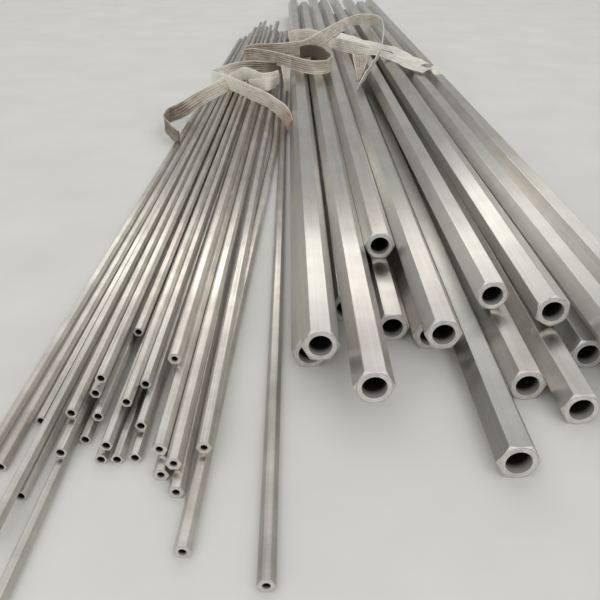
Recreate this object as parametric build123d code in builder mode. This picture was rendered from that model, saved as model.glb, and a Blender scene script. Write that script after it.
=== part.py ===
from build123d import *
from math import atan, cos, radians, sin, tan
import os

# A bundle of hexagonal steel pipes: a group of large ones on the right, a group of small ones on
# the left, a narrow aisle between them, and three webbing slings over the far half.
# Pipes run along +Y and lie on z = 0. Their near ends face -Y.

# Large pipes
large_flats = 80.0
large_bore = 55.0
large_length = 5800.0
turned_face = 77.0
turned_angle = 30.0

# Small pipes with a thick wall and with a thin wall
thick_flats = 30.0
thick_bore = 15.0
thin_flats = 24.0
thin_bore = 17.0
small_length = 5000.0

# Clearances: beside a neighbour in a row, under a row, under and beside a sling
row_gap = 0.3
seat_gap = 0.2
sling_gap = 0.3

# Slings
sling_width = 75.0
sling_thickness = 5.0
sling_step = 100.0

# One thick pipe is bent sideways: its lean at the near end and the radius of the bend
bent_lean = 0.04
bent_radius = 8000.0

# Aisle between the groups: where its two sides are at y = 0 and at the far end of a pipe
small_side_near = -12.5
small_side_far = -60.0
large_side_near = 12.5
large_side_far = -67.0

# Each row starts beside the aisle and runs outwards.
# Name, kind, extra gap to the last pipe near and far, near end, roll.
large_low_row = [
    ("large_low_1", "large", 0.0, 0.0, 427.0, 0.0),
    ("large_low_2", "large", 14.0, 0.0, 650.0, 0.0),
    ("large_low_3", "large", 19.0, 0.0, 550.0, 0.0),
    ("large_low_4", "large", 0.0, 0.0, 510.0, 0.0),
    ("large_low_5", "large", 0.0, 0.0, 31.0, 0.0),
    ("large_low_6", "large", 0.0, 0.0, 293.0, 0.0),
    ("large_low_7", "large", 0.0, 1.0, 203.0, 0.0),
    ("large_low_8", "large", 1.0, 1.0, 423.0, 0.0),
    ("large_low_9", "large", 19.0, 4.0, 300.0, 0.0),
]
large_top_row = [
    ("large_top_1", "large", 0.0, 0.0, 338.0, 0.0),
    ("large_top_2", "large", 14.0, 0.0, 174.0, 0.0),
    ("large_top_3", "large", 0.0, 0.0, 884.0, 0.0),
    ("large_top_4", "large", 1.0, 0.0, 387.0, 0.0),
    ("large_top_5", "large", 70.0, 9.0, 578.0, 0.0),
    ("large_top_6", "large", 38.0, 32.0, 485.0, 30.0),
    ("large_top_7", "large", 31.0, 11.0, 200.0, 0.0),
    ("large_top_8", "large", 12.0, 2.0, 320.0, 0.0),
]
small_row_1 = [
    ("thick_single", "thick", 0.0, 0.0, -246.0, 0.0),
    ("thick_row1_1", "thick", 116.0, 0.0, -173.0, 0.0),
    ("thick_row1_2", "thick", 0.0, 2.0, -25.0, 0.0),
    ("thick_row1_3", "thick", 3.0, 0.0, 24.0, 0.0),
    ("thin_row1_1", "thin", 32.0, 0.0, 78.0, 0.0),
    ("thin_row1_2", "thin", 8.0, 0.0, 73.0, 0.0),
    ("thin_row1_3", "thin", 5.0, 0.0, 73.0, 0.0),
    ("thin_row1_4", "thin", 22.0, 0.0, 136.0, 0.0),
    ("thin_row1_5", "thin", 0.0, 0.0, -350.0, 0.0),
    ("thin_row1_6", "thin", 22.0, 0.0, -32.0, 0.0),
    ("thin_row1_7", "thin", 10.0, 0.0, 199.0, 0.0),
    ("thin_row1_8", "thin", 5.0, 0.0, 51.0, 0.0),
    ("thin_row1_9", "thin", 10.0, 0.0, -60.0, 0.0),
]
small_row_2 = [
    ("thick_row2_1", "thick", 0.0, 0.0, 71.0, 0.0),
    ("thick_row2_2", "thick", 19.0, 2.0, 23.0, 0.0),
    ("thick_row2_3", "thick", 1.0, 1.0, 66.0, 0.0),
    ("thin_row2_1", "thin", 25.0, 17.0, 152.0, 0.0),
    ("thin_row2_2", "thin", 30.0, 16.0, 88.0, 0.0),
    ("thin_row2_3", "thin", 14.0, 10.0, 184.0, 0.0),
    ("thin_row2_4", "thin", 17.0, 6.0, 66.0, 0.0),
    ("thin_row2_5", "thin", 28.0, 12.0, -150.0, 0.0),
]
small_row_3 = [
    ("thick_row3_1", "thick", 0.0, 0.0, 351.0, 0.0),
    ("thin_row3_1", "thin", 22.0, 18.0, 271.0, 0.0),
    ("thin_row3_2", "thin", 0.0, 2.0, 204.0, 0.0),
    ("thin_row3_3", "thin", 8.0, 2.0, 496.0, 0.0),
    ("thin_row3_4", "thin", 11.0, 1.0, 236.0, 0.0),
    ("thin_row3_5", "thin", 5.0, 2.0, 165.0, 0.0),
]
small_row_4 = [
    ("thin_row4_1", "thin", 0.0, 0.0, 259.0, 0.0),
]

# How far the first pipe of an upper row sits out from the one under it, near and far
large_top_shift = (24.0, -4.0)
small_row_2_shift = (138.0, 3.0)
small_row_3_shift = (15.0, 11.0)
small_row_4_shift = (-9.0, -9.0)

sizes = {
    "large": (large_flats, large_bore, large_length),
    "thick": (thick_flats, thick_bore, small_length),
    "thin": (thin_flats, thin_bore, small_length),
}


def across_corners(flats):
    return flats / cos(radians(30))


def half_width(kind, roll):
    flats = sizes[kind][0]
    return flats / 2 if roll else across_corners(flats) / 2


def height(kind, row, roll):
    flats = sizes[kind][0]
    under = (row - 1) * (flats + seat_gap)
    return under + (across_corners(flats) / 2 if roll else flats / 2)


def line_through(y_a, x_a, y_b, x_b):
    slope = (x_b - x_a) / (y_b - y_a)
    return x_a - slope * y_a, slope


def at(line, y):
    return line[0] + line[1] * y


# Lines of one row's pipes, each set beside the last over the length that the two share
def lay_row(row, first_line, side):
    lines = {}
    last = None
    for name, kind, gap_near, gap_far, near, roll in row:
        far = near + sizes[kind][2]
        if last is None:
            line = first_line
        else:
            l_line, l_near, l_far, l_half = last
            y_a = max(near, l_near)
            y_b = min(far, l_far)
            pitch = (half_width(kind, roll) + l_half) / cos(atan(l_line[1])) + row_gap
            x_a = at(l_line, y_a) + side * (pitch + gap_near)
            x_b = at(l_line, y_b) + side * (pitch + gap_far)
            line = line_through(y_a, x_a, y_b, x_b)
        lines[name] = line
        last = (line, near, far, half_width(kind, roll))
    return lines


# A line set out sideways from another by one amount at y = 0 and another at the pipe's far end
def shifted(line, shift, side, length):
    near_x = line[0] + side * shift[0]
    far_x = at(line, length) + side * shift[1]
    return line_through(0.0, near_x, length, far_x)


large_first = line_through(
    0.0, large_side_near + half_width("large", 0),
    large_length, large_side_far + half_width("large", 0),
)
small_first = line_through(
    0.0, small_side_near - half_width("thick", 0),
    small_length, small_side_far - half_width("thick", 0),
)

lines = {}
lines.update(lay_row(large_low_row, large_first, 1))
lines.update(lay_row(large_top_row, shifted(large_first, large_top_shift, 1, large_length), 1))
lines.update(lay_row(small_row_1, small_first, -1))
lines.update(lay_row(small_row_2, shifted(small_first, small_row_2_shift, -1, small_length), -1))
lines.update(lay_row(
    small_row_3, shifted(lines["thick_row2_3"], small_row_3_shift, -1, small_length), -1,
))
lines.update(lay_row(
    small_row_4, shifted(lines["thin_row3_4"], small_row_4_shift, -1, small_length), -1,
))


# A plane across a pipe's near end, turned to face along the pipe
def near_plane(x, y, z, slope):
    turn = atan(slope)
    return Plane(
        origin=(x, y, z), x_dir=(cos(turn), -sin(turn), 0), z_dir=(sin(turn), cos(turn), 0),
    )


# One straight pipe: a hexagon with a round bore. A large one's near end is turned to a round face.
def straight_pipe(kind, line, near, z, roll):
    flats, bore, length = sizes[kind]
    start = near_plane(at(line, near), near, z, line[1])
    with BuildPart() as pipe:
        with BuildSketch(start):
            RegularPolygon(radius=flats / 2, side_count=6, major_radius=False, rotation=roll)
            Circle(bore / 2, mode=Mode.SUBTRACT)
        extrude(amount=length)
        if kind == "large":
            face = turned_face / 2
            corner = across_corners(flats) / 2 + 1
            deep = (corner - face) * tan(radians(turned_angle))
            side_plane = Plane(
                origin=start.origin, x_dir=start.x_dir, z_dir=start.x_dir.cross(start.z_dir),
            )
            with BuildPart(mode=Mode.INTERSECT):
                with BuildSketch(side_plane):
                    with BuildLine():
                        Polyline(
                            (0, 0), (face, 0), (corner, deep),
                            (corner, length), (0, length), close=True,
                        )
                    make_face()
                revolve(axis=Axis(start.origin, start.z_dir))
    return pipe.part


# One bent pipe: it leans out from its near end until it meets the first pipe, then lies along it
def bent_pipe(kind, line, near, z):
    flats, bore, length = sizes[kind]
    x_near = at(line, near)
    beside = small_first[0] - 2 * half_width(kind, 0) - row_gap
    knee_y = (beside - x_near + bent_lean * near) / (bent_lean - small_first[1])
    far_y = near + length
    with BuildPart() as pipe:
        with BuildLine():
            FilletPolyline(
                (x_near, near, z),
                (beside + small_first[1] * knee_y, knee_y, z),
                (beside + small_first[1] * far_y, far_y, z),
                radius=bent_radius,
            )
        with BuildSketch(near_plane(x_near, near, z, bent_lean)):
            RegularPolygon(radius=flats / 2, side_count=6, major_radius=False)
            Circle(bore / 2, mode=Mode.SUBTRACT)
        sweep()
    return pipe.part


# A ribbon of webbing on edge: flat lengths between points, each point at the lower edge
def standing_ribbon(path):
    with BuildPart() as ribbon:
        for a, b in zip(path, path[1:]):
            start = Vector(a[0] * sling_step, a[1] * sling_step, 0)
            end = Vector(b[0] * sling_step, b[1] * sling_step, 0)
            run = (end - start).length
            over = sling_thickness / 2
            rise = (b[2] - a[2]) * over / run
            low_start = a[2] + max(0, -rise)
            low_end = b[2] + max(0, rise)
            along = (end - start).normalized()
            with BuildSketch(Plane(origin=start, x_dir=along, z_dir=along.cross(Vector(0, 0, 1)))):
                with BuildLine():
                    Polyline(
                        (-over, low_start), (run + over, low_end),
                        (run + over, low_end + sling_width), (-over, low_start + sling_width),
                        close=True,
                    )
                make_face()
            extrude(amount=over, both=True)
    return ribbon.part


pieces = {}
row_number = [
    (large_low_row, 1), (large_top_row, 2),
    (small_row_1, 1), (small_row_2, 2), (small_row_3, 3), (small_row_4, 4),
]
for row, number in row_number:
    for name, kind, gap_near, gap_far, near, roll in row:
        z = height(kind, number, roll)
        if name == "thick_row1_1":
            pieces[name] = bent_pipe(kind, lines[name], near, z)
        else:
            pieces[name] = straight_pipe(kind, lines[name], near, z, roll)

# Heights that the slings lie at: on the floor, on the small pipes, on the large ones, on the ridge
# of the rolled one, and over another strand there
on_floor = sling_gap
on_small = 4 * thin_flats + 3 * seat_gap + sling_gap
on_large = 2 * large_flats + seat_gap + sling_gap
on_ridge = large_flats + seat_gap + across_corners(large_flats) + sling_gap
on_strand = on_ridge + sling_thickness + sling_gap

# Sling over the small pipes: a loop out to the left whose strand climbs on top, and a fold that
# sends another strand across it and down into the aisle
small_loop = [
    (-5.75, 23.0, on_floor), (-6.1, 23.7, on_floor), (-6.45, 24.8, 0.1 * on_small),
    (-6.35, 25.9, 0.3 * on_small), (-5.85, 26.8, 0.5 * on_small), (-5.2, 27.7, 0.75 * on_small),
    (-4.45, 28.6, on_small), (-3.7, 29.7, on_small), (-3.1, 31.3, on_small),
]
small_fold = [
    (-1.3, 32.6, on_small), (-2.28, 33.2, on_small), (-2.92, 33.1, on_small),
    (-3.51, 32.67, on_small), (-4.06, 31.74, on_small), (-4.55, 31.1, on_small),
    (-4.6, 30.7, on_small), (-4.1, 30.2, on_small), (-3.28, 29.07, on_small),
    (-2.28, 27.4, on_small), (-1.46, 26.2, 0.95 * on_small), (-0.7, 24.7, 0.77 * on_small),
    (-0.33, 23.7, 0.57 * on_small), (-0.25, 22.0, 0.12 * on_small),
]
with BuildPart() as sling_small:
    add(standing_ribbon(small_loop))
    add(standing_ribbon(small_fold))

# Sling on the left of the large pipes: a long standing loop, a fold at the left, a strand in a wide
# bend to the right and back, and a tail down into the aisle
left_path = [
    (0.29, 34.5, on_large), (0.89, 34.86, on_large), (1.47, 34.24, on_large),
    (1.9, 32.9, on_large), (2.05, 31.5, on_large), (1.76, 30.36, on_large), (1.21, 30.1, on_large),
    (0.01, 31.15, on_large), (-0.6, 32.16, on_large), (-1.34, 33.38, 0.92 * on_large),
    (-2.61, 35.0, 0.82 * on_large),
    (-3.08, 35.6, 0.82 * on_large), (-2.43, 36.5, 0.85 * on_large), (-0.91, 35.4, on_large),
    (0.25, 36.0, on_large), (0.98, 37.4, on_strand), (1.71, 39.1, on_strand),
    (2.61, 42.0, on_strand), (3.56, 44.56, on_strand), (4.34, 45.61, on_strand),
    (5.15, 45.97, on_strand), (5.75, 45.4, on_strand), (6.0, 43.59, on_strand),
    (5.75, 40.59, on_strand), (5.32, 36.92, on_strand), (4.81, 33.39, on_strand),
    (4.17, 30.55, on_large), (3.68, 28.44, on_large), (3.27, 26.7, on_large),
]
tail_y = 31.8 * sling_step
tail_slant = 1.2 * sling_step
small_side = at(small_first, tail_y) + half_width("thick", 0)
large_side = at(large_first, tail_y) - half_width("large", 0)
tail_x = (small_side + large_side) / 2
with BuildPart() as sling_left:
    add(standing_ribbon(left_path))
    with BuildSketch(Plane(origin=(tail_x, tail_y, 0), x_dir=(0, 1, 0), z_dir=(1, 0, 0))):
        with BuildLine():
            Polyline(
                (-sling_width / 2 - tail_slant, on_floor), (sling_width / 2 - tail_slant, on_floor),
                (sling_width / 2, on_large + sling_width / 2),
                (-sling_width / 2, on_large + sling_width / 2), close=True,
            )
        make_face()
    extrude(amount=sling_thickness / 2, both=True)

# Sling on the right of the large pipes: a flat band across them under the strand, and a tail
right_y = 31.4 * sling_step
top_side = at(lines["large_top_8"], right_y) + half_width("large", 0)
low_side = at(lines["large_low_9"], right_y) + half_width("large", 0)
outside = max(top_side, low_side) + 4 * sling_gap + sling_thickness / 2
with BuildPart() as sling_right:
    with BuildSketch(Plane.XY.offset(on_ridge)):
        with BuildLine() as band:
            Polyline(
                (-0.45 * sling_step, 41.2 * sling_step), (1.8 * sling_step, 40.2 * sling_step),
                (outside, right_y),
            )
        trace(band.line, line_width=sling_width)
    extrude(amount=sling_thickness)
    with Locations((outside, right_y, on_floor)):
        Box(
            sling_thickness, sling_width, on_ridge + sling_thickness - on_floor,
            align=(Align.CENTER, Align.CENTER, Align.MIN),
        )

pieces["sling_small"] = sling_small.part
pieces["sling_left"] = sling_left.part
pieces["sling_right"] = sling_right.part

# The origin is the middle of the whole bundle, on the floor
boxes = [piece.bounding_box() for piece in pieces.values()]
middle_x = (min(box.min.X for box in boxes) + max(box.max.X for box in boxes)) / 2
middle_y = (min(box.min.Y for box in boxes) + max(box.max.Y for box in boxes)) / 2

os.makedirs("parts", exist_ok=True)
for name, piece in pieces.items():
    placed = piece.moved(Location((-middle_x, -middle_y, 0)))
    placed.label = name
    export_step(placed, f"parts/{name}.step")
print(round(middle_x, 3), round(middle_y, 3))
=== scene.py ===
import math
import random

import bmesh
import bpy
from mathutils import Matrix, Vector


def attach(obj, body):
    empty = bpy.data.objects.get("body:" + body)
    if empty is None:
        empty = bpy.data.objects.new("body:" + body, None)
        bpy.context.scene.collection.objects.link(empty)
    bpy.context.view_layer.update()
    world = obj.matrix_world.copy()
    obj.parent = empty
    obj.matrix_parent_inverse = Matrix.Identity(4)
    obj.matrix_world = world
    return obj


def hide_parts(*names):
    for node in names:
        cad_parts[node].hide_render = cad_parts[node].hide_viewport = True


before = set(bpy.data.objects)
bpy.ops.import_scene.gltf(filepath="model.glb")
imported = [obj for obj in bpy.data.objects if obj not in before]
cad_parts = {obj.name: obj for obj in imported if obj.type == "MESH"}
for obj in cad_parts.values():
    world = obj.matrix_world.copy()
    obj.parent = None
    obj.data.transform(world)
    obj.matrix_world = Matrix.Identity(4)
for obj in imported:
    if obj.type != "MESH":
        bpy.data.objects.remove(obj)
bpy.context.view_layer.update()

scene = bpy.context.scene
scene.view_settings.view_transform = "Standard"

# Camera, 1.04 m above the floor, looking down along the pipes from their near ends
eye = bpy.data.cameras.new("photo_camera")
eye.sensor_width = 36
eye.lens = 44.4
camera = bpy.data.objects.new("photo_camera", eye)
camera.location = (-0.111507, -4.266653, 1.040)
camera.rotation_euler = (math.radians(60.952), 0, 0)
scene.collection.objects.link(camera)
scene.camera = camera


# Colours are sRGB hex and go to the shaders as linear values
def paint(hex_code):
    shades = [int(hex_code[i:i + 2], 16) / 255 for i in (1, 3, 5)]
    return [s / 12.92 if s <= 0.04045 else ((s + 0.055) / 1.055) ** 2.4 for s in shades] + [1]


# One node, its settings, the links into its sockets, and its stops where it has them
def node(tree, kind, links=None, stops=(), **settings):
    made = tree.nodes.new(kind)
    for key, value in settings.items():
        setattr(made, key, value)
    for socket, source in (links or {}).items():
        if isinstance(source, bpy.types.NodeSocket):
            tree.links.new(source, made.inputs[socket])
        else:
            made.inputs[socket].default_value = source
    if stops:
        marks = made.color_ramp.elements
        while len(marks) < len(stops):
            marks.new(0.5)
        for mark, (place, hex_code) in zip(marks, stops):
            mark.position = place
            mark.color = paint(hex_code)
    return made


def new_material(name):
    material = bpy.data.materials.new(name)
    material.use_nodes = True
    tree = material.node_tree
    tree.nodes.clear()
    return material, tree


# The pipes' materials read what dress_pipe stores on each point. "lie" is its place from the middle
# line and the near end, so that patterns follow the pipe. "batch" sets each pipe's patterns apart.
# "length" is the pipe's length, "half_across" half its width across flats, "bright" its brightness.


# Stainless steel, cold drawn and pickled: satin, with fine lines along the pipe that smear what is
# mirrored in it sideways, soft bands across it left by the drawing bench, slanted marks of the
# straightening rolls, and a thin brown film from handling in smudges, with the film's colour mixed
# in more towards the far end, darker and browner there. The grey leans to pink here and to green
# there.
# A pattern's scale is in cells to a metre, along x, y and z.
def drawn_steel(name, light, dark, film, film_growth, least_rough, most_rough):
    material, tree = new_material(name)
    lie = node(tree, "ShaderNodeAttribute", attribute_name="lie").outputs["Vector"]
    batch = node(tree, "ShaderNodeAttribute", attribute_name="batch").outputs["Fac"]
    bright = node(tree, "ShaderNodeAttribute", attribute_name="bright").outputs["Fac"]
    seen = {}
    for pattern, scale, slant, detail, roughness in [
        # Drawing lines, a real 0.2 mm apart, drawn 4 mm apart so that they show
        ("lines", (240, 1.0, 240), 0, 4.0, 0.65),
        # Bands across the pipe, 60 to 150 mm apart
        ("bands", (4, 9, 4), 0, 3.0, 0.55),
        # Marks of the straightening rolls, 6 mm apart, slanted by 14 degrees
        ("marks", (24, 180, 24), 14, 5.0, 0.7),
        # Smudges of film, about 450 mm long
        ("smudges", (14, 2.2, 14), 0, 6.0, 0.65),
        # Where the grey leans to pink or to green, about 900 mm long
        ("lean", (9, 1.1, 9), 0, 2.0, 0.5),
    ]:
        laid = node(tree, "ShaderNodeMapping", {
            "Vector": lie, "Rotation": (0, 0, math.radians(slant)), "Scale": scale,
        })
        seen[pattern] = node(tree, "ShaderNodeTexNoise", {
            "Vector": laid.outputs["Vector"], "W": batch, "Scale": 1.0,
            "Detail": detail, "Roughness": roughness,
        }, noise_dimensions="4D").outputs["Fac"]
    grooves = node(tree, "ShaderNodeMix", {
        "Factor": 0.45, "A": seen["lines"], "B": seen["bands"],
    }, data_type="FLOAT")
    tone = node(tree, "ShaderNodeMix", {
        "Factor": 0.15, "A": grooves.outputs["Result"], "B": seen["marks"],
    }, data_type="FLOAT").outputs["Result"]
    grey = node(tree, "ShaderNodeValToRGB", {"Fac": tone}, [(0.36, dark), (0.62, light)])
    tint = node(tree, "ShaderNodeValToRGB", {"Fac": seen["lean"]}, [
        (0.42, "#f9f8f4"), (0.5, "#faf8f5"), (0.6, "#fcf6f2"),
    ])
    steel = node(tree, "ShaderNodeMix", {
        "Factor": 1.0, "A": grey.outputs["Color"], "B": tint.outputs["Color"],
    }, data_type="RGBA", blend_type="MULTIPLY")
    # Darkened by the pipe's own share: painted shade on a pipe lying low and on one in the aisle
    steel = node(tree, "ShaderNodeMix", {
        "Factor": bright, "A": paint("#000000"), "B": steel.outputs["Result"],
    }, data_type="RGBA")
    # The film's colour is mixed in more towards the far end, so it is darker and browner there
    far = node(tree, "ShaderNodeSeparateXYZ", {"Vector": lie}).outputs["Y"]
    film_depth = node(tree, "ShaderNodeMath", {
        0: far, 1: film_growth, 2: seen["smudges"],
    }, operation="MULTIPLY_ADD")
    film_share = node(tree, "ShaderNodeValToRGB", {"Fac": film_depth.outputs["Value"]}, [
        (0.50, "#000000"), (0.72, "#a0a0a0"),
    ])
    filmed = node(tree, "ShaderNodeMix", {
        "Factor": film_share.outputs["Color"], "A": steel.outputs["Result"], "B": paint(film),
    }, data_type="RGBA")
    rough = node(tree, "ShaderNodeMapRange", {
        "Value": tone, "From Min": 0.35, "From Max": 0.65,
        "To Min": most_rough, "To Max": least_rough,
    })
    bump = node(tree, "ShaderNodeBump", {"Height": tone, "Strength": 0.1, "Distance": 0.0002})
    # The lines run along y, and a light mirrored in them spreads across the pipe
    grain = node(tree, "ShaderNodeCombineXYZ", {"Y": 1.0})
    shader = node(tree, "ShaderNodeBsdfPrincipled", {
        "Base Color": filmed.outputs["Result"], "Metallic": 1.0,
        "Roughness": rough.outputs["Result"], "Normal": bump.outputs["Normal"],
        "Anisotropic": 1.0, "Anisotropic Rotation": 0.25, "Tangent": grain.outputs["Vector"],
    })
    node(tree, "ShaderNodeOutputMaterial", {"Surface": shader.outputs["BSDF"]})
    return material


# Stainless steel, saw cut and faced: rings round the bore, and near the outside a broken dark line
# of painted shade, in the step where the facing cut stopped short of the corners and left a burr
def faced_steel():
    material, tree = new_material("faced_stainless_steel")
    lie = node(tree, "ShaderNodeAttribute", attribute_name="lie").outputs["Vector"]
    batch = node(tree, "ShaderNodeAttribute", attribute_name="batch").outputs["Fac"]
    half = node(tree, "ShaderNodeAttribute", attribute_name="half_across").outputs["Fac"]
    flat = node(tree, "ShaderNodeVectorMath", {0: lie, 1: (1, 0, 1)}, operation="MULTIPLY")
    reach = node(tree, "ShaderNodeVectorMath", {
        0: flat.outputs["Vector"],
    }, operation="LENGTH").outputs["Value"]
    # Facing rings, a real 0.3 mm apart, drawn 1.5 mm apart
    rings = node(tree, "ShaderNodeTexNoise", {
        "W": reach, "Scale": 700.0, "Detail": 2.0,
    }, noise_dimensions="1D").outputs["Fac"]
    # Grime in spots, 17 mm apart
    grime = node(tree, "ShaderNodeTexNoise", {
        "Vector": lie, "W": batch, "Scale": 60.0, "Detail": 4.0,
    }, noise_dimensions="4D").outputs["Fac"]
    tone = node(tree, "ShaderNodeMix", {"Factor": 0.5, "A": rings, "B": grime}, data_type="FLOAT")
    grey = node(tree, "ShaderNodeValToRGB", {"Fac": tone.outputs["Result"]}, [
        (0.35, "#b0aeaa"), (0.6, "#dad8d4"),
    ])
    # The painted shade of the burr's step lies between 0.92 of the half width and all of it, and is
    # broken by the grime
    share = node(tree, "ShaderNodeMath", {0: reach, 1: half}, operation="DIVIDE")
    burr = node(tree, "ShaderNodeValToRGB", {"Fac": share.outputs["Value"]}, [
        (0.925, "#000000"), (0.945, "#ffffff"), (0.98, "#ffffff"), (1.0, "#000000"),
    ])
    broken = node(tree, "ShaderNodeValToRGB", {"Fac": grime}, [
        (0.44, "#000000"), (0.56, "#b4b4b4"),
    ])
    line = node(tree, "ShaderNodeMix", {
        "Factor": 1.0, "A": burr.outputs["Color"], "B": broken.outputs["Color"],
    }, data_type="RGBA", blend_type="MULTIPLY")
    colour = node(tree, "ShaderNodeMix", {
        "Factor": line.outputs["Result"], "A": grey.outputs["Color"], "B": paint("#4b4641"),
    }, data_type="RGBA")
    bump = node(tree, "ShaderNodeBump", {"Height": rings, "Strength": 0.3, "Distance": 0.0003})
    shader = node(tree, "ShaderNodeBsdfPrincipled", {
        "Base Color": colour.outputs["Result"], "Metallic": 0.45, "Roughness": 0.42,
        "Normal": bump.outputs["Normal"],
    })
    node(tree, "ShaderNodeOutputMaterial", {"Surface": shader.outputs["BSDF"]})
    return material


# The bore: dark inside, partly from mill scale and drawing oil and partly as painted shade, and for
# a short way in from each end painted pale, as painted light falling into its mouth
def mill_bore(name, way_in):
    material, tree = new_material(name)
    lie = node(tree, "ShaderNodeAttribute", attribute_name="lie").outputs["Vector"]
    length = node(tree, "ShaderNodeAttribute", attribute_name="length").outputs["Fac"]
    far = node(tree, "ShaderNodeSeparateXYZ", {"Vector": lie}).outputs["Y"]
    left = node(tree, "ShaderNodeMath", {0: length, 1: far}, operation="SUBTRACT")
    depth = node(tree, "ShaderNodeMath", {
        0: far, 1: left.outputs["Value"],
    }, operation="MINIMUM")
    # Scale in streaks, 6 mm wide and 80 mm long
    along = node(tree, "ShaderNodeMapping", {"Vector": lie, "Scale": (160, 12, 160)})
    scale = node(tree, "ShaderNodeTexNoise", {
        "Vector": along.outputs["Vector"], "Scale": 1.0, "Detail": 5.0,
    }).outputs["Fac"]
    dark = node(tree, "ShaderNodeValToRGB", {"Fac": scale}, [(0.35, "#14100e"), (0.65, "#2e2824")])
    # Painted light: pale near each end, fading inwards into the painted shade
    brushed = node(tree, "ShaderNodeMapRange", {
        "Value": depth.outputs["Value"], "From Min": 0.1 * way_in, "From Max": way_in,
        "To Min": 1.0, "To Max": 0.0,
    }, interpolation_type="SMOOTHSTEP")
    colour = node(tree, "ShaderNodeMix", {
        "Factor": brushed.outputs["Result"], "A": dark.outputs["Color"], "B": paint("#bab7b3"),
    }, data_type="RGBA")
    bump = node(tree, "ShaderNodeBump", {"Height": scale, "Strength": 0.4, "Distance": 0.0005})
    shader = node(tree, "ShaderNodeBsdfPrincipled", {
        "Base Color": colour.outputs["Result"], "Metallic": 0.5, "Roughness": 0.5,
        "Normal": bump.outputs["Normal"],
    })
    node(tree, "ShaderNodeOutputMaterial", {"Surface": shader.outputs["BSDF"]})
    return material


# Polyester webbing, woven and undyed: ribs across, warp stripes along, paler here and browner
# there, from bleaching and yard dirt and also as painted shade and painted light, with a pink cast
# where dye has rubbed off on it. Its attribute holds, in x, a point's dirt and painted shade, and
# in y its pink cast.
def woven_webbing():
    warp_apart = 0.012
    # The ribs are a real 1.5 mm apart, drawn 4 mm apart
    rib_apart = 0.004
    material, tree = new_material("woven_polyester_webbing")
    place = node(tree, "ShaderNodeUVMap", uv_map="weave").outputs["UV"]
    spot = node(tree, "ShaderNodeTexCoord").outputs["Object"]
    wear = node(tree, "ShaderNodeAttribute", attribute_name="wear").outputs["Vector"]
    split = node(tree, "ShaderNodeSeparateXYZ", {"Vector": place})
    worn = node(tree, "ShaderNodeSeparateXYZ", {"Vector": wear})
    waves = []
    for side, apart in [("Y", warp_apart), ("X", rib_apart)]:
        angle = node(tree, "ShaderNodeMath", {
            0: split.outputs[side], 1: 2 * math.pi / apart,
        }, operation="MULTIPLY")
        waves.append(node(tree, "ShaderNodeMath", {
            0: angle.outputs["Value"],
        }, operation="COSINE").outputs["Value"])
    weave = node(tree, "ShaderNodeMix", {
        "Factor": 0.4, "A": waves[0], "B": waves[1],
    }, data_type="FLOAT").outputs["Result"]
    # Dirt in patches, 70 mm across, and in streaks along the warp, 110 mm long
    patch = node(tree, "ShaderNodeTexNoise", {
        "Vector": spot, "Scale": 14.0, "Detail": 6.0, "Roughness": 0.6,
    }).outputs["Fac"]
    run = node(tree, "ShaderNodeMapping", {"Vector": place, "Scale": (9, 160, 1)})
    streak = node(tree, "ShaderNodeTexNoise", {
        "Vector": run.outputs["Vector"], "Scale": 1.0, "Detail": 3.0,
    })
    dirt = node(tree, "ShaderNodeMix", {
        "Factor": 0.55, "A": patch, "B": streak.outputs["Fac"],
    }, data_type="FLOAT")
    # Each point's given dirt, partly painted shade and painted light
    dirt = node(tree, "ShaderNodeMath", {
        0: dirt.outputs["Result"], 1: 1.15, 2: worn.outputs["X"],
    }, operation="MULTIPLY_ADD")
    # It gathers between the threads
    dirt = node(tree, "ShaderNodeMath", {
        0: weave, 1: -0.14, 2: dirt.outputs["Value"],
    }, operation="MULTIPLY_ADD")
    # The selvedges at its two sides, 6 mm wide, are painted paler: tighter and cleaner, and with a
    # painted highlight where the edges catch the light
    aside = node(tree, "ShaderNodeMath", {0: split.outputs["Y"]}, operation="ABSOLUTE")
    edge = node(tree, "ShaderNodeMapRange", {
        "Value": aside.outputs["Value"], "From Min": 0.029, "From Max": 0.033,
        "To Min": 0.0, "To Max": -0.22,
    })
    dirt = node(tree, "ShaderNodeMath", {
        0: dirt.outputs["Value"], 1: edge.outputs["Result"],
    }, operation="ADD")
    cloth = node(tree, "ShaderNodeValToRGB", {"Fac": dirt.outputs["Value"]}, [
        (0.35, "#e8e5dc"), (0.6, "#c5beb1"), (0.85, "#8f8577"), (1.0, "#574d41"),
    ])
    rubbed = node(tree, "ShaderNodeMath", {0: worn.outputs["Y"], 1: patch}, operation="MULTIPLY")
    colour = node(tree, "ShaderNodeMix", {
        "Factor": rubbed.outputs["Value"], "A": cloth.outputs["Color"], "B": paint("#b5776b"),
    }, data_type="RGBA")
    bump = node(tree, "ShaderNodeBump", {"Height": weave, "Strength": 0.6, "Distance": 0.0008})
    shader = node(tree, "ShaderNodeBsdfPrincipled", {
        "Base Color": colour.outputs["Result"], "Roughness": 0.9, "Sheen Weight": 0.15,
        "Normal": bump.outputs["Normal"],
    })
    node(tree, "ShaderNodeOutputMaterial", {"Surface": shader.outputs["BSDF"]})
    return material


large_steel = drawn_steel(
    "drawn_stainless_steel_large", light="#deddda", dark="#cac9c5", film="#97928c",
    film_growth=0.016, least_rough=0.27, most_rough=0.35,
)
small_steel = drawn_steel(
    "drawn_stainless_steel_small", light="#efede8", dark="#bfbcb6", film="#7a746e",
    film_growth=0.05, least_rough=0.28, most_rough=0.38,
)
end_steel = faced_steel()
large_bore = mill_bore("mill_bore_painted_shade_large", way_in=0.030)
small_bore = mill_bore("mill_bore_painted_shade_small", way_in=0.007)
webbing = woven_webbing()

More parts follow.
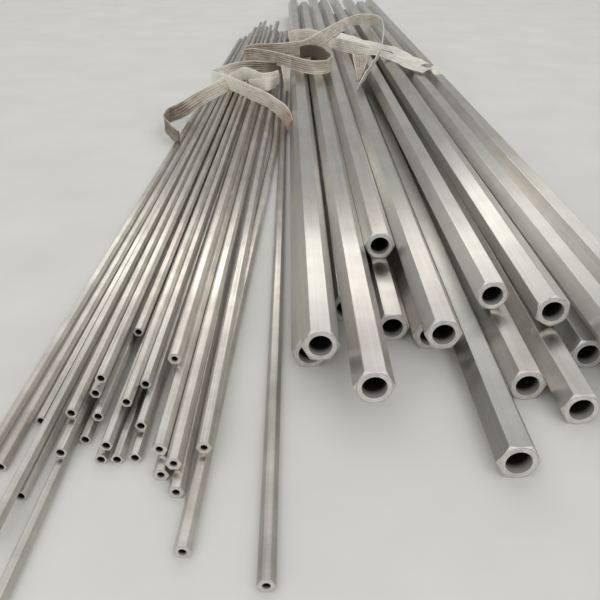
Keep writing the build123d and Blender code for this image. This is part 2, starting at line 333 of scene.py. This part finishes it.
# Each kind of pipe: half its width across flats, the rounding of its long corners, its bore's
# radius, and what it and its bore are made of
pipe_kinds = {
    "large": (0.040, 0.0014, 0.0275, large_steel, large_bore),
    "thick": (0.015, 0.0018, 0.0075, small_steel, small_bore),
    "thin": (0.012, 0.0014, 0.0085, small_steel, small_bore),
}
# Pipes painted darker as a whole: painted shade on large_low_5, lying low, and on thick_single,
# lying in the aisle, and a grey of their own on the three top pipes, which came duller from the
# mill
duller = {
    "large_low_5": 0.77, "large_top_1": 0.93, "large_top_2": 0.94, "large_top_4": 0.89,
    "thick_single": 0.78,
}
# How much the edges at a pipe's ends are broken, as a share of half its width
end_break = 0.012
# Points nearer together than this along a pipe belong to one ring round it
ring_apart = 0.02
chance = random.Random(7)


# Where a pipe's middle line runs, from its own rings of points
def middle_line(points):
    rings = []
    for point in sorted(points, key=lambda p: p.y):
        if rings and point.y - rings[-1][-1].y < ring_apart:
            rings[-1].append(point)
        else:
            rings.append([point])
    middles = []
    for ring in rings:
        low = [min(p[i] for p in ring) for i in range(3)]
        high = [max(p[i] for p in ring) for i in range(3)]
        middles.append(Vector([(a + b) / 2 for a, b in zip(low, high)]))
    return middles


def middle_at(middles, y):
    for a, b in zip(middles, middles[1:]):
        if y <= b.y or b is middles[-1]:
            share = (y - a.y) / (b.y - a.y)
            return a.lerp(b, share)


# A pipe with its long corners rounded, as drawing leaves them, and the edges of its ends broken
def dress_pipe(name, half_across, corner_round, bore_radius, steel, bore_steel):
    bm = bmesh.new()
    bm.from_mesh(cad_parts[name].data)
    bmesh.ops.remove_doubles(bm, verts=bm.verts, dist=0.00002)
    bmesh.ops.dissolve_limit(bm, verts=bm.verts, edges=bm.edges, angle_limit=math.radians(0.5))
    middles = middle_line([v.co.copy() for v in bm.verts])

    def reach(point):
        middle = middle_at(middles, point.y)
        return math.hypot(point.x - middle.x, point.z - middle.z)

    # Long corners run along the pipe and lie outside its bore
    corners = [
        e for e in bm.edges
        if e.calc_length() > 0.05 and e.calc_face_angle(0) > math.radians(40)
        and abs((e.verts[0].co - e.verts[1].co).normalized().y) > 0.9
        and reach(e.verts[0].co) > bore_radius + 0.002
    ]
    bmesh.ops.bevel(
        bm, geom=corners, offset=corner_round, segments=3, profile=0.5,
        affect="EDGES", material=-1,
    )
    # Rims are the sharp edges that run round its two ends
    rims = [
        e for e in bm.edges
        if abs((e.verts[0].co - e.verts[1].co).normalized().y) < 0.3
        and e.calc_face_angle(0) > math.radians(60)
    ]
    bmesh.ops.bevel(
        bm, geom=rims, offset=end_break * half_across, segments=2, profile=0.5,
        affect="EDGES", material=-1,
    )
    lie = bm.verts.layers.float_vector.new("lie")
    batch = bm.verts.layers.float.new("batch")
    length = bm.verts.layers.float.new("length")
    half = bm.verts.layers.float.new("half_across")
    bright = bm.verts.layers.float.new("bright")
    own_batch = chance.uniform(0, 50)
    for v in bm.verts:
        middle = middle_at(middles, v.co.y)
        v[lie] = Vector((v.co.x - middle.x, v.co.y - middles[0].y, v.co.z - middle.z))
        v[batch] = own_batch
        v[length] = middles[-1].y - middles[0].y
        v[half] = half_across
        v[bright] = duller.get(name, 1.0)
    # Material 0 is the outside, 1 the ends and 2 the bore
    for face in bm.faces:
        if abs(face.normal.y) > 0.3:
            face.material_index = 1
        elif max(reach(v.co) for v in face.verts) < bore_radius + 0.001:
            face.material_index = 2
            face.smooth = True
    mesh = bpy.data.meshes.new(name + "_drawn")
    bm.to_mesh(mesh)
    bm.free()
    for material in (steel, end_steel, bore_steel):
        mesh.materials.append(material)
    piece = bpy.data.objects.new(name + "_drawn", mesh)
    scene.collection.objects.link(piece)
    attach(piece, "root")
    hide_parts(name)


for name in sorted(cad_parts):
    kind = name.split("_")[0]
    if kind in pipe_kinds:
        dress_pipe(name, *pipe_kinds[kind])


# Webbing, in metres
webbing_width = 0.075
webbing_thick = 0.0045
# How far it crowns between its edges
webbing_crown = 0.003
# Slack makes its edges wander this far, in two waves each, given as wavelength over 2 pi
slack = 0.0025
upper_waves = (0.031, 0.013)
lower_waves = (0.037, 0.017)
# Steps from one stop to the next, and from one edge to the other
steps_along = 8
steps_across = 8
# The unit of a stop's x and y, and where the bundle's middle lies in the stops' frame
stop_step = 0.1
middle_x = 0.140507
middle_y = 3.166653


# The two edges of a length of webbing. A stop along it is (x, y, z, lean): lean 0 stands on its
# edge, and a lean to the right of the way it runs is above 0. Where it narrows or hangs down, a
# stop is its two edges.
def edges_at(stops):
    middles = [
        Vector(s[:3]) if len(s) == 4 else (Vector(s[0]) + Vector(s[1])) / 2 for s in stops
    ]
    edges = []
    for i, stop in enumerate(stops):
        if len(stop) == 2:
            edges.append((Vector(stop[0]), Vector(stop[1])))
            continue
        ahead = (middles[min(i + 1, len(stops) - 1)] - middles[max(i - 1, 0)]).normalized()
        side = ahead.cross(Vector((0, 0, 1))).normalized()
        up = side.cross(ahead)
        lean = math.radians(stop[3])
        reach = (up * math.cos(lean) + side * math.sin(lean)) * webbing_width / 2
        edges.append((middles[i] + reach, middles[i] - reach))
    return edges


# A smooth line through points
def smooth_line(points):
    marks = [2 * points[0] - points[1]] + points + [2 * points[-1] - points[-2]]
    fine = []
    for a, b, c, d in zip(marks, marks[1:], marks[2:], marks[3:]):
        for i in range(steps_along):
            t = i / steps_along
            fine.append(0.5 * (2 * b + (c - a) * t + (2 * a - 5 * b + 4 * c - d) * t ** 2
                               + (3 * b - a - 3 * c + d) * t ** 3))
    return fine + [points[-1]]


# Evenly spaced values read at a share of the way from the first to the last
def read_at(values, share):
    place = share * (len(values) - 1)
    i = min(int(place), len(values) - 2)
    return values[i] + (values[i + 1] - values[i]) * (place - i)


# A length of webbing, as a grid laid between its two edge lines, crowned a little between them. The
# dirt with its painted shade and light, and the pink cast, are given at even places from its start
# to its end.
def webbing_strip(bm, stops, dirt, pink):
    edges = edges_at(stops)
    uppers = smooth_line([e[0] for e in edges])
    lowers = smooth_line([e[1] for e in edges])
    middles = [(u + l) / 2 for u, l in zip(uppers, lowers)]
    last = len(middles) - 1
    gone = [0.0]
    for a, b in zip(middles, middles[1:]):
        gone.append(gone[-1] + (b - a).length)

    def off_it(i):
        ahead = middles[min(i + 1, last)] - middles[max(i - 1, 0)]
        return ahead.cross(uppers[i] - lowers[i]).normalized()

    turns = [chance.uniform(0, 6.3) for _ in range(4)]
    for i, far in enumerate(gone):
        over = off_it(i)
        uppers[i] += over * slack * (math.sin(far / upper_waves[0] + turns[0])
                                     + math.sin(far / upper_waves[1] + turns[1]) / 2)
        lowers[i] += over * slack * (math.sin(far / lower_waves[0] + turns[2])
                                     + math.sin(far / lower_waves[1] + turns[3]) / 2)
    before = set(bm.verts)
    bmesh.ops.create_grid(bm, x_segments=last, y_segments=steps_across, size=0.5)
    flat = {v: (v.co.x + 0.5, v.co.y + 0.5) for v in bm.verts if v not in before}
    weave = bm.loops.layers.uv["weave"]
    wear = bm.verts.layers.float_vector["wear"]
    for face in {f for v in flat for f in v.link_faces}:
        for loop in face.loops:
            t, share = flat[loop.vert]
            loop[weave].uv = (gone[round(t * last)], (share - 0.5) * webbing_width)
    for v, (t, share) in flat.items():
        i = round(t * last)
        rise = off_it(i) * webbing_crown * 4 * share * (1 - share)
        v.co = uppers[i].lerp(lowers[i], share) + rise
        v[wear] = Vector((read_at(dirt, t), read_at(pink, t), 0))
    return gone[-1]


# From steps of 100 mm along and across the pipes to the part's frame, which starts at the middle
# of the whole bundle
def placed(stops):
    def put(x, y, z):
        return (x * stop_step - middle_x, y * stop_step - middle_y, z)

    return [put(*s[:3]) + s[3:] if len(s) == 4 else (put(*s[0]), put(*s[1])) for s in stops]


# A sling from its strips, each with its stops, its dirt and painted shade, and its pink cast
def webbing_piece(name, node_name, strips):
    bm = bmesh.new()
    bm.loops.layers.uv.new("weave")
    bm.verts.layers.float_vector.new("wear")
    lengths = [webbing_strip(bm, placed(stops), dirt, pink) for stops, dirt, pink in strips]
    mesh = bpy.data.meshes.new(name)
    bm.to_mesh(mesh)
    bm.free()
    for face in mesh.polygons:
        face.use_smooth = True
    mesh.materials.append(webbing)
    piece = bpy.data.objects.new(name, mesh)
    scene.collection.objects.link(piece)
    thick = piece.modifiers.new("thickness", "SOLIDIFY")
    thick.thickness = webbing_thick
    thick.offset = 0
    soft = piece.modifiers.new("soft_edges", "SUBSURF")
    soft.levels = soft.render_levels = 1
    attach(piece, "root")
    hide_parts(node_name)
    print(name, "webbing lengths", [round(long, 2) for long in lengths])


# Over the small pipes: a loop out to the left, a fold with a strand down into the aisle, a flap
small_loop = [
    (-5.21, 22.25, 0.04, 0), (-5.77, 23.22, 0.042, 0), (-6.3, 24.64, 0.05, 0),
    (-6.26, 25.66, 0.052, -5), (-5.84, 26.11, 0.06, -20), (-5.41, 26.39, 0.078, -35),
    (-4.98, 26.71, 0.1, -45), (-4.5, 27.45, 0.115, -42), (-3.98, 28.57, 0.122, -35),
    (-3.51, 29.87, 0.124, -20), (-3.2, 30.87, 0.126, 0), (-3.01, 31.63, 0.126, 0),
    (-2.77, 31.89, 0.126, 0), (-2.33, 31.16, 0.128, 0), (-1.79, 30.29, 0.128, 0),
    (-1.3, 30.32, 0.13, 0), (-0.87, 30.81, 0.13, 0),
]
small_fold = [
    (-0.81, 32.93, 0.135, -5), (-1.45, 32.93, 0.135, -5), (-2.2, 33.07, 0.135, 10),
    (-2.85, 33.16, 0.133, 15), (-3.4, 32.8, 0.132, 25), (-3.91, 32, 0.132, 30),
    (-4.38, 31.05, 0.133, 10), (-4.49, 30.51, 0.134, 0), (-4.25, 30.26, 0.134, 0),
    (-3.76, 29.66, 0.134, 0), (-3.09, 28.61, 0.134, 0), (-2.26, 27.18, 0.134, 0),
    (-1.6, 26.12, 0.132, 0), (-1.04, 25.5, 0.118, 0), (-0.59, 25.06, 0.095, -8),
    (-0.32, 24.63, 0.07, -14), (-0.19, 24.12, 0.045, -18),
]
left_loop = [
    (0.29, 34.09, 0.197, 0), (0.89, 34.7, 0.197, 0), (1.47, 34.09, 0.197, 0),
    (1.89, 32.76, 0.197, 0), (2.06, 31.5, 0.197, 0), (1.76, 30.3, 0.197, 0),
    (1.21, 30.05, 0.197, 0), (0.78, 30.17, 0.197, 0), (0.01, 31.09, 0.197, 0),
    (-0.73, 32.26, 0.193, 0), (-1.34, 33.54, 0.182, 0),
    (-1.98, 34.66, 0.172, 0), (-2.6, 35.17, 0.168, 0), (-2.95, 34.93, 0.168, 0),
    (-3.05, 35.17, 0.168, 0), (-2.93, 36.02, 0.168, 0), (-2.36, 36.38, 0.172, 0),
    (-1.66, 35.9, 0.182, 0), (-0.92, 35.35, 0.195, 0), (-0.31, 35.49, 0.197, 0),
    (0.35, 35.87, 0.199, 0), (0.97, 36.75, 0.207, 0), (1.69, 38.15, 0.217, -25),
    (2.56, 41.02, 0.216, -38), (3.5, 43.54, 0.216, -30), (4.3, 45.12, 0.219, 0),
    (5.12, 45.5, 0.219, 0), (5.71, 44.83, 0.222, 0), (5.9, 42.71, 0.225, 0),
    (5.66, 39.21, 0.226, -4), (5.25, 35.54, 0.228, -8),
    (4.76, 32.35, 0.224, -14), (4.21, 30.15, 0.208, -18), (3.72, 28.27, 0.198, -20),
    (3.33, 26.84, 0.187, -20), (3.17, 26.5, 0.17, -20),
]
right_band = [
    (-0.45, 38.92, 0.2, -10), (0.16, 39.85, 0.2, -10), (0.89, 40.42, 0.197, -15),
    (1.48, 40.39, 0.188, -45), (2, 39.96, 0.173, -80), (2.41, 38.54, 0.18, -50),
    (2.83, 36.71, 0.197, -15), (3.46, 35.88, 0.197, -12), (4.1, 35.46, 0.19, -30),
    (4.81, 35.2, 0.182, -70), (5.42, 34.39, 0.18, -78), (5.91, 33.26, 0.178, -80),
    (6.33, 32.03, 0.177, -80), (6.75, 30.96, 0.176, -80), (7.24, 30.17, 0.175, -78),
]
right_strand = [
    (2.82, 40.65, 0.184, -62), (3.33, 40.22, 0.18, -72), (3.93, 39.26, 0.178, -78),
    (4.52, 38.44, 0.177, -80), (5.3, 37.53, 0.176, -82), (6.06, 36.2, 0.176, -82),
    (6.42, 34.63, 0.176, -82), (6.82, 33.15, 0.176, -82), (7.26, 31.81, 0.176, -82),
]
small_flap = [
    ((-2.46, 29.29, 0.15), (-2.45, 29.35, 0.125)), ((-2.1, 29.05, 0.158), (-2.18, 29.31, 0.11)),
    ((-1.73, 29.03, 0.162), (-1.74, 29.06, 0.1)), ((-1.41, 29.02, 0.165), (-1.41, 28.84, 0.1)),
    ((-1.14, 29.11, 0.165), (-1.16, 29.42, 0.105)), ((-0.89, 29.56, 0.16), (-1, 30.15, 0.115)),
]
right_tail = [
    ((7.73, 31.24, 0.186), (7.38, 30.55, 0.176)), ((8.02, 30.57, 0.174), (7.59, 30.02, 0.158)),
    ((8.25, 30.14, 0.15), (7.9, 29.94, 0.125)), ((8.4, 29.79, 0.115), (8.2, 30.05, 0.085)),
    ((8.49, 29.57, 0.072), (8.4, 30.02, 0.045)), ((8.5, 29.36, 0.034), (8.5, 29.99, 0.01)),
]
right_tongue = [
    ((3.41, 34.95, 0.178), (4.34, 34.95, 0.178)), ((3.39, 33.53, 0.168), (4.22, 33.53, 0.168)),
    ((3.36, 31.69, 0.166), (3.97, 31.69, 0.166)), ((3.32, 29.89, 0.166), (3.67, 29.89, 0.166)),
    ((3.29, 28.45, 0.166), (3.4, 28.45, 0.166)),
]
left_tail = [
    ((-0.76, 32.03, 0.17), (-0.26, 32.03, 0.17)), ((-0.73, 31.41, 0.15), (-0.25, 31.38, 0.145)),
    ((-0.66, 31.02, 0.12), (-0.25, 31, 0.115)), ((-0.55, 30.87, 0.085), (-0.26, 30.85, 0.08)),
    ((-0.46, 30.74, 0.055), (-0.27, 30.75, 0.052)),
]

# A strip's dirt above 0 is browner and darker, and below 0 paler: real dirt and bleaching, and also
# painted shade and painted light, as the painted shade inside the left loop at its start. The pink
# cast is a share
webbing_piece("sling_small_webbing", "sling_small", [
    (small_loop, (0.36, 0.38, 0.02, -0.4, -0.1), (0.1, 0.0, 0.0)),
    (small_fold, (0.4, 0.30, -0.15, -0.35, -0.15, 0.0, 0.15), (0.1, 0.0, 0.0, 0.05, 0.7)),
    (small_flap, (-0.15, -0.2, -0.15), (0.0, 0.0)),
])
# Its loop starts at 1.2, painted dark as shade inside the loop
webbing_piece("sling_left_webbing", "sling_left", [
    (left_loop, (1.2, 0.10, 0.14, 0.20, 0.20, 0.08, 0.05, -0.02, -0.08),
     (0.0, 0.15, 0.1, 0.0, 0.0)),
    (left_tail, (0.05, 0.1), (0.0, 0.0)),
])
webbing_piece("sling_right_webbing", "sling_right", [
    (right_band, (-0.12, -0.06, 0.06, -0.06, -0.15, -0.05), (0.3, 0.1, 0.0, 0.0)),
    (right_strand, (-0.25, -0.15), (0.0, 0.0)),
    (right_tail, (-0.15, -0.05), (0.0, 0.0)),
    (right_tongue, (0.17, 0.17), (0.25, 0.25)),
])

# Plain pale floor, 60 m across so that no edge of it shows
floor_material, tree = new_material("pale_floor")
spot_on = node(tree, "ShaderNodeTexCoord").outputs["Object"]
speck = node(tree, "ShaderNodeTexNoise", {"Vector": spot_on, "Scale": 3.0, "Detail": 8.0})
colour = node(tree, "ShaderNodeValToRGB", {"Fac": speck.outputs["Fac"]}, [
    (0.3, "#d6d5d2"), (0.7, "#dddcd9"),
])
shader = node(tree, "ShaderNodeBsdfPrincipled", {
    "Base Color": colour.outputs["Color"], "Roughness": 0.85,
})
node(tree, "ShaderNodeOutputMaterial", {"Surface": shader.outputs["BSDF"]})
bm = bmesh.new()
bmesh.ops.create_grid(bm, x_segments=2, y_segments=2, size=30)
floor_mesh = bpy.data.meshes.new("floor")
bm.to_mesh(floor_mesh)
bm.free()
floor_mesh.materials.append(floor_material)
floor = bpy.data.objects.new("floor", floor_mesh)
scene.collection.objects.link(floor)


# A soft light of so many metres across and up, turned from its place to face another
def soft_box(name, place, aim, size, power, tint):
    lamp = bpy.data.lights.new(name, "AREA")
    lamp.shape = "RECTANGLE"
    lamp.size, lamp.size_y = size
    lamp.energy = power
    lamp.color = paint(tint)[:3]
    made = bpy.data.objects.new(name, lamp)
    made.location = place
    made.rotation_euler = (Vector(aim) - Vector(place)).to_track_quat("-Z", "Y").to_euler()
    scene.collection.objects.link(made)


# A row of windows past the far ends gives the bright band across the pipes' tops, and the rest is
# even light from the roof, from the front and from all round
window_aim = (0, -2.5, 0.2)
soft_box("far_window", (0, 14.0, 8.1), window_aim, (18, 1.6), 128, "#fffdf8")
soft_box("left_pane", (-2.6, 13.9, 8.1), window_aim, (6, 1.6), 45, "#fffdf8")
soft_box("right_pane", (4.6, 13.9, 8.1), window_aim, (1.6, 1.6), 8, "#fffdf8")
soft_box("upper_window", (0, 13.4, 9.9), window_aim, (18, 2.0), 54, "#fbfcff")
soft_box("roof_light", (0, 3.5, 8.4), (0, 3.5, 0), (16, 13), 320, "#fbfcff")
soft_box("front_light", (0, -12.5, 7.5), (0, -1.0, 0), (24, 12), 1120, "#fffdfa")
world = bpy.data.worlds.new("studio")
world.use_nodes = True
background = world.node_tree.nodes["Background"]
background.inputs["Color"].default_value = paint("#d2d2d0")
background.inputs["Strength"].default_value = 0.70
scene.world = world
